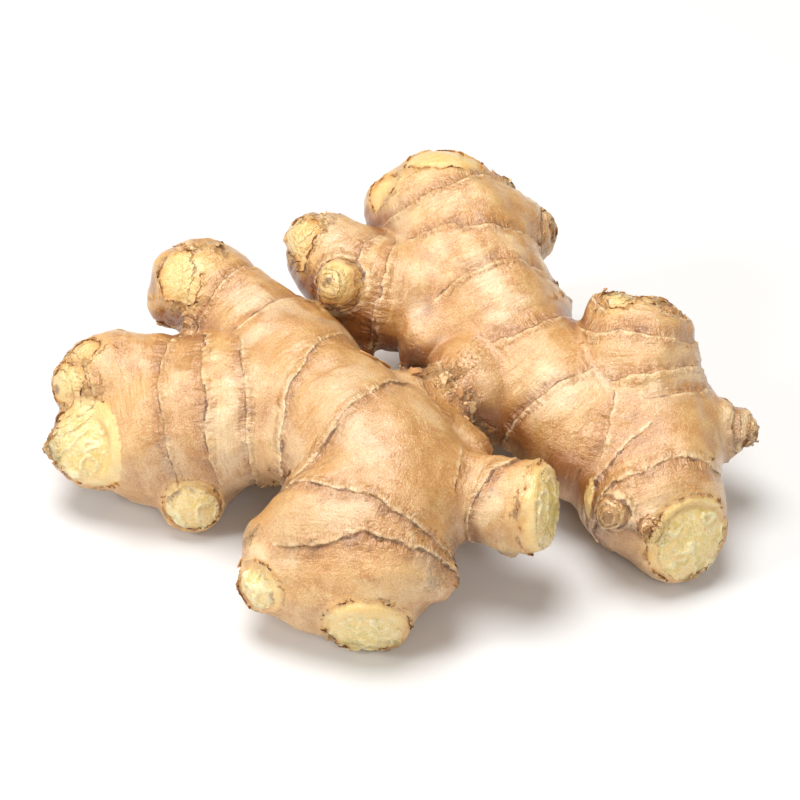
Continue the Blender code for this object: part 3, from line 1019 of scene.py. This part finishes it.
def bare_colour(n):
    """Smooth flesh where the skin has peeled, with any eye's rings on it."""
    inside = n.plus(n.peel, n.swing(n.blotches, 2.6))
    on_eye = n.times(n.line, n.ramp(n.eye, 1.15, 1.0))
    return n.painted(
        colour(224, 160, 78),
        (n.ramp(inside, 0.4, -2.6), (246, 208, 128)),
        (n.ramp(n.patches, 0.46, 0.62, 0, 0.4), (252, 228, 166)),
        (n.ramp(n.streaks, 0.5, 0.36, 0, 0.25), (214, 156, 80)),
        (n.times(on_eye, 0.6), (150, 96, 44)),
        (n.ramp(n.plus(n.eye, n.swing(n.fine, 0.2)), 0.2, 0.08, 0, 0.8), (120, 76, 36)),
    )


def torn_edge_colour(n, look):
    """The broken brown edge of the skin where flesh shows."""
    edge = n.times(n.ramp(n.bare_edge, -0.25, 0), n.ramp(n.bare_edge, 0.45, 0.1))
    browner = n.painted(colour(190, 132, 68), (n.ramp(n.blotches, 0.42, 0.6), (138, 84, 38)))
    return n.mix(n.times(edge, n.ramp(n.stretches, 0.48, 0.64, 0, 0.75)), look, browner)


def face_colour(n):
    """Fibrous flesh of a broken end: pale threads over green-yellow, paler towards the rim."""
    depth = n.plus(n.rim, n.swing(n.blotches, 4.0))
    rim_line = n.ramp(n.plus(n.rim, n.swing(n.fine, 1.6)), 0.55, 0.15)
    return n.painted(
        colour(250, 216, 140),
        (n.ramp(depth, 0.8, 4.6), (240, 218, 120)),
        (n.ramp(n.blotches, 0.5, 0.62, 0, 0.6), (222, 194, 88)),
        (n.ramp(n.fine, 0.44, 0.3, 0, 0.5), (206, 164, 72)),
        (n.ramp(n.fibre, 0.1, 0.7, 0, 0.75), (255, 240, 186)),
        (n.times(curved_threads(n), 0.6), (255, 244, 204)),
        (n.times(rim_line, n.ramp(n.stretches, 0.42, 0.6, 0.05, 0.75)), (150, 98, 44)),
    )


def curved_threads(n):
    """Thin wandering threads, 1 on a thread and 0 between."""
    wandering = n.noise(n.place, 2.6, 2, 0.5)
    return n.ramp(n.math("ABSOLUTE", n.swing(wandering, 1.0)), 0.035, 0.0)


def skin_normal(n):
    """Puckers, creases, grit, ring lines and torn fibres."""
    puckers = n.noise(n.scaled(n.grain, (1, 1, 0.4)), 1.1, 3)
    strength = n.times(n.in_grain, n.plus(0.15, n.times(n.puckered, 0.85)))
    normal = n.bump(n.times(puckers, strength), 0.0009)
    normal = n.bump(n.times(n.hoops, n.in_grain), 0.00035, normal)
    normal = n.bump(n.grit, 0.00012, normal)
    normal = n.bump(n.times(n.line, -1.0), 0.0002, normal)
    normal = n.bump(n.times(n.fine, n.plus(n.times(n.dryness, 2.4), 0.7)), 0.0003, normal)
    return n.bump(n.times(n.noise(n.place, 0.9, 3, 0.65), n.on_face), 0.0004, normal)


def skin_material():
    n = SkinNodes()
    skin = worn_and_crease_shade_colour(n, ring_colour(n, skin_colour(n)))
    softness = n.ramp(n.stretches, 0.44, 0.6, 1.3, 0.08)
    look = n.mix(n.ramp(n.math("DIVIDE", n.bare_edge, softness), -1, 1), bare_colour(n), skin)
    look = torn_edge_colour(n, look)
    look = n.mix(n.on_face, look, face_colour(n))
    n.put(n.shader.inputs["Base Color"], look)

    roughness = n.ramp(n.plus(n.fine, n.dryness), 0.3, 1.5, 0.33, 0.58)
    flesh_gloss = n.ramp(n.bare_edge, 0.1, -0.1, 0, -0.1)
    n.put(n.shader.inputs["Roughness"], n.plus(roughness, flesh_gloss))
    normal = skin_normal(n)
    n.put(n.shader.inputs["Normal"], normal)
    n.put(n.shader.inputs["Coat Normal"], normal)
    for name, value in (
        ("Coat Weight", 1), ("Coat Roughness", 0.3), ("Coat IOR", 1.8),
        ("Subsurface Weight", 0.15), ("Subsurface Radius", (1.0, 0.6, 0.3)), ("Subsurface Scale", 0.0012),
    ):
        n.shader.inputs[name].default_value = value
    return n.material


def scale_material():
    n = Nodes("dry_scales")
    place = n.millimetres()
    mottled = n.plus(n.read("shade"), n.swing(n.noise(place, 1.1, 3), 0.8))
    look = n.painted(
        colour(120, 72, 34),
        (n.ramp(mottled, 0.1, 0.5), (196, 144, 90)),
        (n.ramp(mottled, 0.5, 0.95), (242, 208, 158)),
    )
    n.put(n.shader.inputs["Base Color"], look)
    n.put(n.shader.inputs["Roughness"], n.ramp(mottled, 0, 1, 0.7, 0.5))
    n.put(n.shader.inputs["Normal"], n.bump(n.noise(place, 0.5, 2), 0.0001))
    return n.material


# ---- Scene ----

LIT_PLACE = (0, 0, 0.02)
CAMERA_TILT = 50  # degrees up from straight down


def add_floor():
    side = 3.0
    corners = [(-side, -side, 0), (side, -side, 0), (side, side, 0), (-side, side, 0)]
    mesh = bpy.data.meshes.new("floor")
    mesh.from_pydata(corners, [], [(0, 1, 2, 3)])
    n = Nodes("floor_white")
    n.shader.inputs["Base Color"].default_value = (0.76, 0.76, 0.76, 1)
    n.shader.inputs["Roughness"].default_value = 0.9
    mesh.materials.append(n.material)
    floor = add_object("floor", mesh)


def add_light(name, place, size, power):
    """A round lamp that faces the root's middle."""
    light = bpy.data.lights.new(name, "AREA")
    light.shape = "DISK"
    light.size = size
    light.energy = power
    piece = add_object(name, light)
    piece.location = place
    piece.rotation_euler = (Vector(LIT_PLACE) - Vector(place)).to_track_quat("-Z", "Y").to_euler()


def add_lights():
    world = bpy.data.worlds.new("white_room")
    world.use_nodes = True
    world.node_tree.nodes["Background"].inputs["Color"].default_value = (1, 0.93, 0.83, 1)
    world.node_tree.nodes["Background"].inputs["Strength"].default_value = 0.32
    bpy.context.scene.world = world
    add_light("key", (-0.13, 0.14, 0.92), 0.6, 8.7)
    add_light("front", (0.2, -0.8, 0.7), 0.5, 2.8)
    add_light("left", (-0.75, -0.25, 0.5), 0.24, 2.8)
    bpy.context.scene.view_settings.view_transform = "Standard"


def add_camera():
    data = bpy.data.cameras.new("camera")
    data.lens = 100
    data.sensor_width = 36
    data.clip_start = 0.01
    camera = add_object("camera", data)
    camera.location = (0, -0.4022, 0.358)
    camera.rotation_euler = (math.radians(CAMERA_TILT), 0, 0)
    bpy.context.scene.camera = camera


def main():
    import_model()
    root = Root()
    skin = skin_material()
    body, points, way, field = make_skin(root, skin)
    pieces = [body]
    scales = scale_material()
    for mesh in (scales_on_rings(body.data, points, way, field, 11),
                 scales_on_skin_edges(body.data, points, way, field, 13),
                 scales_on_crust(points, way, field, 15), flaps(points, way, field, 17)):
        mesh.materials.append(scales)
        pieces.append(add_object(mesh.name, mesh))
    for piece in pieces:
        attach(piece, "root")
    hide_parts("ginger_root")
    add_floor()
    add_lights()
    add_camera()
    bpy.context.view_layer.update()


main()
